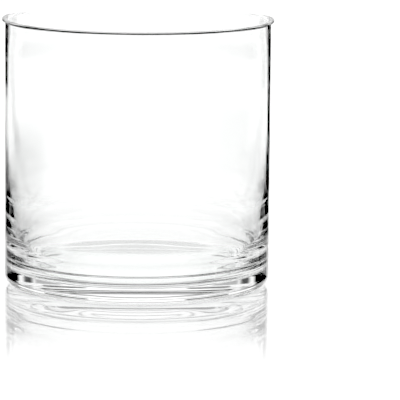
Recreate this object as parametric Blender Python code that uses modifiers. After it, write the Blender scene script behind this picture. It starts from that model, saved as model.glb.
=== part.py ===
"""Clear glass cylinder vase, blown in a mould as one piece.

A round tumbler-shaped vessel, about as tall as it is wide. One glass wall runs
from a fire-finished rim that stands slightly proud of the side, down to a heavy
base with a rounded heel outside and a rounded corner inside. The outside is
straight and the inside is not: the wall is under a millimetre thick at two
thirds of its height, grows a little towards the rim and, much more, towards
the base. It rests on a narrow flat foot ring around a shallow domed underside.

Metres, +Z up. Origin at the centre of the foot ring, on the plane it rests on.
"""

import math

import bpy

# ---- driving dimensions (metres) --------------------------------------------
HEIGHT = 0.1210          # foot plane to the top of the rim
OUTER_RADIUS = 0.0600    # outside of the plain wall

RIM_PROUD = 0.0013       # how far the rim stands out from the wall
RIM_TIP_DROP = 0.0006    # from the top of the rim down to its widest point
RIM_NOSE = 0.0009        # radial length of the rim's tight outer nose
RIM_NOSE_END = -40.0     # degrees: where the nose gives way to the hollow under it
RIM_NECK_DROP = 0.0017   # from the top of the rim down to the plain wall
NECK_HEIGHT = HEIGHT - RIM_NECK_DROP

FLOOR = 0.00673          # thickness of glass at the flat inner floor
INNER_CORNER = 0.00578   # radius between inner floor and inner wall
CORNER_TOP = 0.01193     # height where the corner gives way to the wall
CORNER_WALL = 0.00768    # wall thickness at that height

# The inner wall above the corner: (height above the foot plane, wall thickness)
WALL = (
    (0.0130, 0.00673), (0.0144, 0.00642), (0.0158, 0.00609),
    (0.0176, 0.00524), (0.0195, 0.00445), (0.0216, 0.00386),
    (0.0240, 0.00340), (0.0280, 0.00302), (0.0315, 0.00276),
    (0.0410, 0.00188), (0.0480, 0.00138), (0.0570, 0.00106),
    (0.0720, 0.00088), (0.0920, 0.00090), (0.1020, 0.00112),
    (0.1100, 0.00160), (NECK_HEIGHT, 0.00205),
)

HEEL_WIDTH = 0.0046      # the heel is a quarter ellipse, from the foot ring out
HEEL_HEIGHT = 0.0050     # to the wall and from the foot plane up to the wall
FOOT_INNER = 0.0544      # inner radius of the flat foot ring
PUSH_UP = 0.0016         # rise of the underside at the middle

# ---- segment counts ---------------------------------------------------------
TURN_STEPS = 96          # facets around the axis
CORNER_STEPS = 7
RIM_STEPS = 6            # for the rim's inner shoulder and again for its nose
HOLLOW_STEPS = 3
HEEL_STEPS = 8
DOME_STEPS = 5

MERGE_DISTANCE = 0.00001  # joins the seam and the points on the axis


# ---- profile: lists of (radius, height) points ------------------------------
def arc(centre, radial_size, vertical_size, start_deg, end_deg, steps):
    """Points on an ellipse with the given half sizes, ends included.
    Angles run from 0 (outward) to 90 (up)."""
    centre_radius, centre_height = centre
    points = []
    for i in range(steps + 1):
        angle = math.radians(start_deg + (end_deg - start_deg) * i / steps)
        points.append((centre_radius + radial_size * math.cos(angle),
                       centre_height + vertical_size * math.sin(angle)))
    return points


def hollow(start, end, steps):
    """Points after start, up to and including end, on a parabola that comes in
    quickly at first and then runs tangent into the upright wall."""
    points = []
    for i in range(1, steps + 1):
        fall = i / steps
        inward = 1.0 - (1.0 - fall) ** 2
        points.append((start[0] + (end[0] - start[0]) * inward,
                       start[1] + (end[1] - start[1]) * fall))
    return points


def inside_profile():
    """From the middle of the inner floor out and up to the foot of the rim."""
    # The corner circle touches the floor and is left for the wall a little
    # before it stands upright, at this angle below the horizontal.
    leave_angle = math.asin(1.0 - (CORNER_TOP - FLOOR) / INNER_CORNER)
    floor_radius = OUTER_RADIUS - CORNER_WALL - INNER_CORNER * math.cos(leave_angle)

    floor = [(0.0, FLOOR), (0.5 * floor_radius, FLOOR)]
    corner = arc((floor_radius, FLOOR + INNER_CORNER), INNER_CORNER, INNER_CORNER,
                 -90.0, -math.degrees(leave_angle), CORNER_STEPS)
    wall = [(OUTER_RADIUS - thickness, height) for height, thickness in WALL]
    return floor + corner + wall


def rim_profile(inner_radius):
    """Over the rim, from just past the inner wall's top to the plain outer wall:
    a broad shoulder inside, a tight nose outside and a hollow under the nose."""
    crown_radius = OUTER_RADIUS + RIM_PROUD - RIM_NOSE
    shoulder = arc((crown_radius, NECK_HEIGHT), crown_radius - inner_radius,
                   RIM_NECK_DROP, 180.0, 90.0, RIM_STEPS)
    nose = arc((crown_radius, HEIGHT - RIM_TIP_DROP), RIM_NOSE, RIM_TIP_DROP,
               90.0, RIM_NOSE_END, RIM_STEPS)
    neck = hollow(nose[-1], (OUTER_RADIUS, NECK_HEIGHT), HOLLOW_STEPS)
    # Each arc starts on the point before it, so its first point is dropped.
    return shoulder[1:] + nose[1:] + neck


def outside_profile():
    """Down the outer wall, around the heel and in along the underside."""
    mid_wall = [(OUTER_RADIUS, 0.5 * HEIGHT)]
    heel = arc((OUTER_RADIUS - HEEL_WIDTH, HEEL_HEIGHT), HEEL_WIDTH, HEEL_HEIGHT,
               0.0, -90.0, HEEL_STEPS)
    # The flat foot ring spans the gap from the heel to the dome's first point.
    dome = []
    for i in range(DOME_STEPS + 1):
        share = 1.0 - i / DOME_STEPS
        dome.append((FOOT_INNER * share, PUSH_UP * (1.0 - share * share)))
    return mid_wall + heel + dome


def vase_profile():
    """The cut through one side of the vase, from axis to axis."""
    inside = inside_profile()
    inner_radius = inside[-1][0]
    return inside + rim_profile(inner_radius) + outside_profile()


# ---- scene ------------------------------------------------------------------
def clear_scene():
    for obj in list(bpy.data.objects):
        bpy.data.objects.remove(obj, do_unlink=True)


def glass_material():
    material = bpy.data.materials.new("clear_glass")
    material.use_nodes = True
    settings = {
        "Base Color": (0.97, 0.985, 0.98, 1.0),  # a trace of green
        "Roughness": 0.0,
        "Metallic": 0.0,
        "IOR": 1.52,
        "Transmission Weight": 1.0,
    }
    shader = material.node_tree.nodes["Principled BSDF"]
    for socket, value in settings.items():
        shader.inputs[socket].default_value = value
    return material


def turned(name, profile, collection, material):
    """A closed turned body: the profile swept once around the Z axis."""
    mesh = bpy.data.meshes.new(name)
    edges = [(i, i + 1) for i in range(len(profile) - 1)]
    mesh.from_pydata([(radius, 0.0, z) for radius, z in profile], edges, [])
    mesh.materials.append(material)
    obj = bpy.data.objects.new(name, mesh)
    collection.objects.link(obj)

    screw = obj.modifiers.new("turn", "SCREW")
    screw.axis = "Z"
    screw.angle = 2.0 * math.pi
    screw.steps = TURN_STEPS
    screw.render_steps = TURN_STEPS
    screw.use_merge_vertices = True
    screw.merge_threshold = MERGE_DISTANCE
    screw.use_smooth_shade = True


def main():
    clear_scene()
    collection = bpy.data.collections.new("glass_cylinder_vase")
    bpy.context.scene.collection.children.link(collection)
    turned("glass_vase", vase_profile(), collection, glass_material())


main()
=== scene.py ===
"""Clear glass cylinder vase on a glossy white surface, in bright-field studio light.

The vase stands upright on z = 0 with its axis on Z. The camera looks along +Y from the -Y side.
"""

import math

import bpy
from mathutils import Matrix, Vector


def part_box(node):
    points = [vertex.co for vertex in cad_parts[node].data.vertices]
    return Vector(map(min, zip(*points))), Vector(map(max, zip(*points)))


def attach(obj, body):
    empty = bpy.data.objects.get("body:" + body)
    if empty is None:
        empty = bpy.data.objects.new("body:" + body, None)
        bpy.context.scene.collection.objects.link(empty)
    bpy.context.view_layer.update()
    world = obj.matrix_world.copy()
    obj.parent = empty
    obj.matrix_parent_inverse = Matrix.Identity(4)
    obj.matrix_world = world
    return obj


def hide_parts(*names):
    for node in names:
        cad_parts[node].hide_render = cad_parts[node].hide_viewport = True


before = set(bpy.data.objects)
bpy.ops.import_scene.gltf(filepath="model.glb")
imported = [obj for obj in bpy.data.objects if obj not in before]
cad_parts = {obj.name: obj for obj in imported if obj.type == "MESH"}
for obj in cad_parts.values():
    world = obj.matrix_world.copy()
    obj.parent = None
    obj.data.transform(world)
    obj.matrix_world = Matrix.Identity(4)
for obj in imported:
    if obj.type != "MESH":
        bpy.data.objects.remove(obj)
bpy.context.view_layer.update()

# ---- shape of the glass, metres -------------------------------------------------
NODE = "glass_vase"
low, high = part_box(NODE)
HEIGHT = high[2] - low[2]
RIM_R = 0.5 * (high[0] - low[0])
RIM_PROUD = 0.0013        # how far the rim stands out from the outer wall
OUTER_R = RIM_R - RIM_PROUD
NOSE_WIDTH = 0.0009       # the outer edge of the rim is part of an ellipse
NOSE_HEIGHT = 0.0006
NECK_Z = HEIGHT - 0.0017  # where the rim meets the wall, inside and outside
BASE_TOP = 0.00673        # height of the inside floor
CORNER_R = 0.00578        # radius of the inner corner
CORNER_JOIN_Z = 0.01193   # height where the corner meets the wall
CORNER_WALL = 0.00768     # wall thickness there
FINE_TOP_Z = 0.040        # the inner wall has closer rings up to here
HEEL_WIDTH = 0.0046       # the heel is a quarter ellipse
HEEL_HEIGHT = 0.0050
FOOT_INNER_R = 0.0544     # inside this the underside rises
PUSH_UP = 0.0016          # rise of the underside at the axis
SEGMENTS = 360

# (height, wall thickness) above the corner, both in mm: thinnest in the upper half,
# heavier towards the rim and the base
WALL_MM = (
    (13.0, 6.73), (15.8, 6.09), (19.5, 4.45), (24.0, 3.40), (28.0, 3.02), (31.5, 2.76),
    (35.0, 2.43), (38.0, 2.14), (41.0, 1.88), (44.5, 1.60), (48.0, 1.38), (52.0, 1.20),
    (57.0, 1.06), (63.0, 0.95), (72.0, 0.88), (82.0, 0.86), (92.0, 0.90), (98.0, 1.00),
    (102.0, 1.12), (106.0, 1.32), (110.0, 1.60), (114.5, 1.88), (119.3, 2.05),
)

# ---- camera, metres and radians; lens in mm ---------------------------------------
CAMERA_PLACE = (0.0, -1.36937, 0.264696)
PITCH = 0.16400           # downwards
YAW = 0.02085             # towards +X
ROLL = 0.00941
LENS, SENSOR = 274.7286, 36.0

# ---- stage, metres ------------------------------------------------------------------
STAGE_HALF = 12.0
STAGE_DROP = 0.00002      # keeps the stage floor clear of the foot
RING_R = 6.0
RING_BOTTOM, RING_TOP = 0.001, 3.2
RING_SEGMENTS = 96
SKY_STRENGTH = 1.12
BLACK = (0, 0, 0, 1)
WHITE = (1, 1, 1, 1)

# Every row is one soft-edged dark area; the floor rows are painted shade, which the camera
# never sees and rays through and off the glass do. Angles are in degrees from straight behind
# the vase.
# Side 1 is to the camera's right, -1 to its left, and 0 stands on both sides.
# A softness is half the width of the edge.
# painted shade on the floor, for the glass to refract and reflect
FLOOR_PAINTED_SHADE = (
    # side, angle from, to, soft, floor distance from, to, soft, darkness
    (0, 14.5, 32.0, 1.0, 1.60, 60.0, 0.20, 1.0),
    (-1, 16.5, 32.0, 1.5, 0.86, 60.0, 0.06, 1.0),
    (1, 16.5, 32.0, 1.5, 0.72, 60.0, 0.06, 1.0),
    (-1, 18.0, 32.0, 2.0, 0.72, 0.90, 0.04, 1.0),
    (-1, 18.5, 32.0, 2.0, 0.42, 0.74, 0.05, 0.35),
    (1, 18.5, 32.0, 2.0, 0.42, 0.76, 0.05, 1.0),
    (-1, 24.5, 38.0, 2.0, 0.28, 0.45, 0.04, 0.55),
    (1, 24.5, 38.0, 2.0, 0.28, 0.45, 0.04, 1.0),
    (0, 31.0, 46.0, 2.0, 0.20, 0.30, 0.03, 0.9),
    (0, 36.0, 62.0, 2.0, 0.155, 0.22, 0.02, 1.0),
    # painted contact shadow and painted dark reflection on the floor right beside the foot
    (0, 79.0, 125.0, 2.0, 0.068, 0.12, 0.003, 1.0),
    (-1, 50.0, 100.0, 12.0, 0.12, 0.55, 0.12, 0.85),
    (1, 46.0, 80.0, 12.0, 0.12, 0.45, 0.10, 0.4),
)
PANEL_DARK = (
    # side, angle from, to, soft, elevation in degrees from, to, soft, darkness
    (0, 14.5, 32.0, 1.0, -2.0, 4.0, 0.8, 1.0),
    (0, 53.0, 125.0, 2.5, 2.5, 22.0, 2.0, 1.0),
    (0, 24.0, 38.0, 2.0, 8.0, 14.0, 1.0, 0.5),
    (0, 39.5, 47.0, 2.5, 8.0, 14.0, 1.5, 0.85),
)
# (z of the view direction, softness, how much the sky dims above it)
SKY_DIM = ((0.72, 0.12, 0.34), (0.36, 0.08, 0.08))


# ---- outline of the glass, as (radius, height) points -----------------------------
def arc(centre, radii, degrees, count):
    """Points along an elliptical arc, without its first."""
    start, end = degrees
    out = []
    for i in range(1, count + 1):
        a = math.radians(start + (end - start) * i / count)
        out.append((centre[0] + radii[0] * math.cos(a), centre[1] + radii[1] * math.sin(a)))
    return out


def line(start, end, count):
    """Points after start, up to and with end."""
    return [(start[0] + (end[0] - start[0]) * i / count,
             start[1] + (end[1] - start[1]) * i / count)
            for i in range(1, count + 1)]


def secant(stations, k):
    """Straight slope from station k to the next."""
    (z0, v0), (z1, v1) = stations[k:k + 2]
    return (v1 - v0) / (z1 - z0)


def slope(stations, k):
    """Slope at station k that keeps the curve monotone."""
    if k == 0:
        return secant(stations, 0)
    if k == len(stations) - 1:
        return secant(stations, k - 1)
    below, above = secant(stations, k - 1), secant(stations, k)
    if below * above <= 0:
        return 0.0
    gap_below = stations[k][0] - stations[k - 1][0]
    gap_above = stations[k + 1][0] - stations[k][0]
    weight_below = 2 * gap_above + gap_below
    weight_above = gap_above + 2 * gap_below
    return (weight_below + weight_above) / (weight_below / below + weight_above / above)


def smooth(stations, z):
    """Monotone cubic through (z, value) stations."""
    k = 0
    while k < len(stations) - 2 and z > stations[k + 1][0]:
        k += 1
    (z0, v0), (z1, v1) = stations[k:k + 2]
    gap = z1 - z0
    t = (z - z0) / gap
    slope0, slope1 = slope(stations, k), slope(stations, k + 1)
    return ((2 * t ** 3 - 3 * t ** 2 + 1) * v0 + (t ** 3 - 2 * t ** 2 + t) * gap * slope0
            + (-2 * t ** 3 + 3 * t ** 2) * v1 + (t ** 3 - t ** 2) * gap * slope1)


def inside():
    """Inside floor from the axis, round corner, and inner wall up to the neck."""
    # the corner is a circle that touches the floor; the wall starts where it is left
    join = math.degrees(math.asin(1.0 - (CORNER_JOIN_Z - BASE_TOP) / CORNER_R))
    centre_r = OUTER_R - CORNER_WALL - CORNER_R * math.cos(math.radians(join))
    pts = [(centre_r * share, BASE_TOP) for share in (0.0, 0.33, 0.67, 11 / 12, 1.0)]
    pts += arc(centre=(centre_r, BASE_TOP + CORNER_R), radii=(CORNER_R, CORNER_R),
               degrees=(-90, -join), count=40)
    wall = ((CORNER_JOIN_Z * 1000.0, CORNER_WALL * 1000.0),) + WALL_MM
    for start, end, count in ((CORNER_JOIN_Z, FINE_TOP_Z, 90), (FINE_TOP_Z, NECK_Z, 40)):
        for i in range(1, count + 1):
            z = start + (end - start) * i / count
            pts.append((OUTER_R - smooth(wall, z * 1000.0) / 1000.0, z))
    return pts


def rim(inner_r):
    """Broad inner shoulder, tight nose outside, small hollow under the nose."""
    crown_r = RIM_R - NOSE_WIDTH
    pts = arc(centre=(crown_r, NECK_Z), radii=(crown_r - inner_r, HEIGHT - NECK_Z),
              degrees=(180, 90), count=18)
    pts += arc(centre=(crown_r, HEIGHT - NOSE_HEIGHT), radii=(NOSE_WIDTH, NOSE_HEIGHT),
               degrees=(90, -40), count=16)
    tip_r, tip_z = pts[-1]
    for i in range(1, 9):
        t = i / 8
        inward = 1.0 - (1.0 - t) ** 2
        pts.append((tip_r + (OUTER_R - tip_r) * inward, tip_z + (NECK_Z - tip_z) * t))
    return pts


def outside():
    """Straight outer wall, heel, flat foot, and hollow underside to the axis."""
    # close rings only next to the bends at the two ends of the wall
    pts = [(OUTER_R, NECK_Z + (HEEL_HEIGHT - NECK_Z) * share)
           for share in (1 / 40, 0.25, 0.5, 0.75, 39 / 40, 1.0)]
    pts += arc(centre=(OUTER_R - HEEL_WIDTH, HEEL_HEIGHT), radii=(HEEL_WIDTH, HEEL_HEIGHT),
               degrees=(0, -90), count=26)
    pts += line(pts[-1], (FOOT_INNER_R, 0.0), count=4)
    for i in range(1, 25):
        r = FOOT_INNER_R * (1 - i / 24)
        pts.append((r, PUSH_UP * (1 - (r / FOOT_INNER_R) ** 2)))
    return pts


# ---- objects ------------------------------------------------------------------------
def add_object(name, data):
    obj = bpy.data.objects.new(name, data)
    bpy.context.scene.collection.objects.link(obj)
    return obj


def lathe(name, pts, segments):
    """One closed body swept round Z, the first and last point on the axis."""
    rings = pts[1:-1]
    verts = [(0.0, 0.0, pts[0][1])]
    for r, z in rings:
        for k in range(segments):
            a = 2.0 * math.pi * k / segments
            verts.append((r * math.cos(a), r * math.sin(a), z))
    verts.append((0.0, 0.0, pts[-1][1]))
    last = len(verts) - 1
    last_ring = last - segments
    faces = []
    for k in range(segments):
        n = (k + 1) % segments
        faces.append((0, 1 + k, 1 + n))
        faces.append((last, last_ring + n, last_ring + k))
    for j in range(len(rings) - 1):
        ring = 1 + j * segments
        following = ring + segments
        for k in range(segments):
            n = (k + 1) % segments
            faces.append((ring + k, following + k, following + n, ring + n))
    mesh = bpy.data.meshes.new(name)
    mesh.from_pydata(verts, [], faces)
    mesh.validate()
    mesh.shade_smooth()
    return add_object(name, mesh)


def add_vase():
    inner = inside()
    pts = inner + rim(inner_r=inner[-1][0]) + outside()
    vase = lathe("vase_glass", pts, SEGMENTS)
    vase.data.materials.append(clear_glass())
    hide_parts(NODE)
    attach(vase, "root")


def add_camera():
    forward = Vector((math.sin(YAW) * math.cos(PITCH), math.cos(YAW) * math.cos(PITCH),
                      -math.sin(PITCH)))
    level = Vector((math.cos(YAW), -math.sin(YAW), 0.0))
    upright = level.cross(forward)
    right = math.cos(ROLL) * level + math.sin(ROLL) * upright
    up = -math.sin(ROLL) * level + math.cos(ROLL) * upright
    data = bpy.data.cameras.new("camera")
    data.sensor_width = SENSOR
    data.lens = LENS
    data.clip_start = 0.05
    data.clip_end = 50.0
    cam = add_object("camera", data)
    pose = Matrix((right, up, -forward)).transposed().to_4x4()
    pose.translation = CAMERA_PLACE
    cam.matrix_world = pose
    bpy.context.scene.camera = cam
    return cam


def add_turntable(cam):
    """Keeps the dark panels and the painted floor shade in place behind the vase, whichever
    side it is seen from.
    """
    turn = add_object("stage_turn", None)
    track = turn.constraints.new("LOCKED_TRACK")
    track.target = cam
    track.track_axis = "TRACK_NEGATIVE_Y"
    track.lock_axis = "LOCK_Z"
    return turn


def add_floor(turn):
    mesh = bpy.data.meshes.new("stage_floor")
    half = STAGE_HALF
    corners = [(-half, -half, 0), (half, -half, 0), (half, half, 0), (-half, half, 0)]
    mesh.from_pydata(corners, [], [(0, 1, 2, 3)])
    floor = add_object("stage_floor", mesh)
    floor.location.z = -STAGE_DROP
    mesh.materials.append(stage_white(turn))


def add_panels(turn):
    """One upright ring around the stage, clear except where a dark panel hangs."""
    mesh = bpy.data.meshes.new("stage_panels")
    verts, faces = [], []
    for k in range(RING_SEGMENTS):
        a = 2.0 * math.pi * k / RING_SEGMENTS
        x, y = RING_R * math.sin(a), RING_R * math.cos(a)
        verts += [(x, y, RING_BOTTOM), (x, y, RING_TOP)]
        n = (k + 1) % RING_SEGMENTS
        faces.append((2 * k, 2 * n, 2 * n + 1, 2 * k + 1))
    mesh.from_pydata(verts, [], faces)
    panels = add_object("stage_panels", mesh)
    mesh.materials.append(stage_black(turn))
    panels.visible_camera = False
    panels.visible_diffuse = False
    panels.visible_shadow = False
    panels.parent = turn


# ---- shader nodes ---------------------------------------------------------------------
def new_material(name):
    mat = bpy.data.materials.new(name)
    mat.use_nodes = True
    return mat, mat.node_tree


def set_principled(nt, values):
    bsdf = nt.nodes["Principled BSDF"]
    for key, value in values.items():
        bsdf.inputs[key].default_value = value
    return bsdf


def node(nt, kind, inputs=(), **props):
    """A node with its inputs linked or set in order; None leaves one alone."""
    made = nt.nodes.new(kind)
    for key, value in props.items():
        setattr(made, key, value)
    for i, value in enumerate(inputs):
        if value is None:
            continue
        if hasattr(value, "links"):
            nt.links.new(value, made.inputs[i])
        else:
            made.inputs[i].default_value = value
    return made


def calc(nt, op, a, b=None):
    return node(nt, "ShaderNodeMath", (a, b), operation=op).outputs[0]


def step(nt, value, at, soft, rising):
    """Soft step around a value, from 0 to 1 when rising and from 1 to 0 otherwise."""
    start, end = (0.0, 1.0) if rising else (1.0, 0.0)
    return node(nt, "ShaderNodeMapRange", (value, at - soft, at + soft, start, end),
                interpolation_type="SMOOTHSTEP").outputs[0]


def angle_of(nt, opposite, adjacent):
    """Angle in degrees."""
    return calc(nt, "MULTIPLY", calc(nt, "ARCTAN2", opposite, adjacent), 180.0 / math.pi)


def is_ray(nt, kind):
    return node(nt, "ShaderNodeLightPath").outputs[f"Is {kind} Ray"]


def unlit(nt):
    return node(nt, "ShaderNodeEmission", (BLACK, 0.0)).outputs[0]


def output_mix(nt, factor, first, second):
    mix = node(nt, "ShaderNodeMixShader", (factor, first, second))
    nt.links.new(mix.outputs[0], nt.nodes["Material Output"].inputs["Surface"])


def dark_mask(nt, azimuth, along, rows):
    """The darkest of the rows at an angle and a distance or elevation."""
    mask = None
    size = calc(nt, "ABSOLUTE", azimuth)
    for side, az_from, az_to, az_soft, from_, to, soft, darkness in rows:
        angle = size if side == 0 else calc(nt, "MULTIPLY", azimuth, float(side))
        area = step(nt, angle, az_from, az_soft, rising=True)
        for value, at, edge_soft, rising in ((angle, az_to, az_soft, False),
                                             (along, from_, soft, True),
                                             (along, to, soft, False)):
            area = calc(nt, "MULTIPLY", area, step(nt, value, at, edge_soft, rising))
        area = calc(nt, "MULTIPLY", area, darkness)
        mask = area if mask is None else calc(nt, "MAXIMUM", mask, area)
    return mask


def around(nt, turn):
    """Angle from straight behind, distance from the axis and height, as the stage turns."""
    place = node(nt, "ShaderNodeTexCoord", object=turn).outputs["Object"]
    x, y, z = node(nt, "ShaderNodeSeparateXYZ", (place,)).outputs
    azimuth = angle_of(nt, x, y)
    squares = calc(nt, "ADD", calc(nt, "MULTIPLY", x, x), calc(nt, "MULTIPLY", y, y))
    return azimuth, calc(nt, "SQRT", squares), z


# ---- materials and world --------------------------------------------------------------
def clear_glass():
    mat, nt = new_material("clear_glass")
    set_principled(nt, {"Base Color": (0.99, 0.995, 0.993, 1), "Roughness": 0.0,
                        "IOR": 1.52, "Transmission Weight": 1.0})
    return mat


def stage_white(turn):
    """Matt white, glossy near the vase, with painted shade in patches for rays through and off
    the glass; the camera sees no dark areas and less gloss.
    """
    mirror_roughness = 0.02
    full_gloss, camera_loss = 0.95, 0.43
    gloss_reach, gloss_soft = 0.15, 0.05
    mat, nt = new_material("stage_white")
    matt = set_principled(nt, {"Base Color": (0.98, 0.98, 0.98, 1), "Roughness": 1.0,
                               "Specular IOR Level": 0.0})
    azimuth, r, _ = around(nt, turn)
    mirror = node(nt, "ShaderNodeBsdfGlossy", (WHITE, mirror_roughness))
    seen = is_ray(nt, "Camera")
    gloss = calc(nt, "SUBTRACT", full_gloss, calc(nt, "MULTIPLY", seen, camera_loss))
    near = step(nt, r, gloss_reach, gloss_soft, rising=False)
    gloss = calc(nt, "MULTIPLY", near, gloss)
    white = node(nt, "ShaderNodeMixShader", (gloss, matt.outputs[0], mirror.outputs[0]))
    # painted shade: dark floor patches, kept from camera rays
    mask = dark_mask(nt, azimuth, r, FLOOR_PAINTED_SHADE)
    mask = calc(nt, "MULTIPLY", mask, calc(nt, "SUBTRACT", 1.0, seen))
    output_mix(nt, mask, white.outputs[0], unlit(nt))
    return mat


def stage_black(turn):
    mat, nt = new_material("stage_black")
    nt.nodes.remove(nt.nodes["Principled BSDF"])
    azimuth, r, z = around(nt, turn)
    elevation = angle_of(nt, z, r)
    dark = unlit(nt)
    clear = node(nt, "ShaderNodeBsdfTransparent").outputs[0]
    output_mix(nt, dark_mask(nt, azimuth, elevation, PANEL_DARK), clear, dark)
    return mat


def add_world():
    """White sky, dimmer overhead except to diffuse rays, so the floor is lit evenly."""
    world = bpy.data.worlds.new("world")
    bpy.context.scene.world = world
    world.use_nodes = True
    nt = world.node_tree
    sky = nt.nodes["Background"]
    sky.inputs["Color"].default_value = WHITE
    direction = node(nt, "ShaderNodeTexCoord").outputs["Generated"]
    rise = node(nt, "ShaderNodeSeparateXYZ", (direction,)).outputs[2]
    upper, lower = [calc(nt, "MULTIPLY", step(nt, rise, at, soft, rising=True), amount)
                    for at, soft, amount in SKY_DIM]
    dim = calc(nt, "ADD", upper, lower)
    dim = calc(nt, "MULTIPLY", dim, calc(nt, "SUBTRACT", 1.0, is_ray(nt, "Diffuse")))
    strength = calc(nt, "MULTIPLY", calc(nt, "SUBTRACT", 1.0, dim), SKY_STRENGTH)
    nt.links.new(strength, sky.inputs["Strength"])


def set_render():
    scene = bpy.context.scene
    view = scene.view_settings
    view.view_transform = "Standard"
    view.look = "None"
    # studio contrast: the deepest greys of the glass go to black, white stays white
    view.use_curve_mapping = True
    view.curve_mapping.black_level = (0.10, 0.10, 0.10)
    view.curve_mapping.update()
    cycles = scene.cycles
    cycles.max_bounces = 24
    cycles.transmission_bounces = 24
    cycles.glossy_bounces = 12
    cycles.diffuse_bounces = 4
    cycles.transparent_max_bounces = 16
    cycles.use_denoising = True
    cycles.sample_clamp_indirect = 10.0
    cycles.blur_glossy = 0.0


add_vase()
stage_turn = add_turntable(add_camera())
add_floor(stage_turn)
add_world()
add_panels(stage_turn)
set_render()
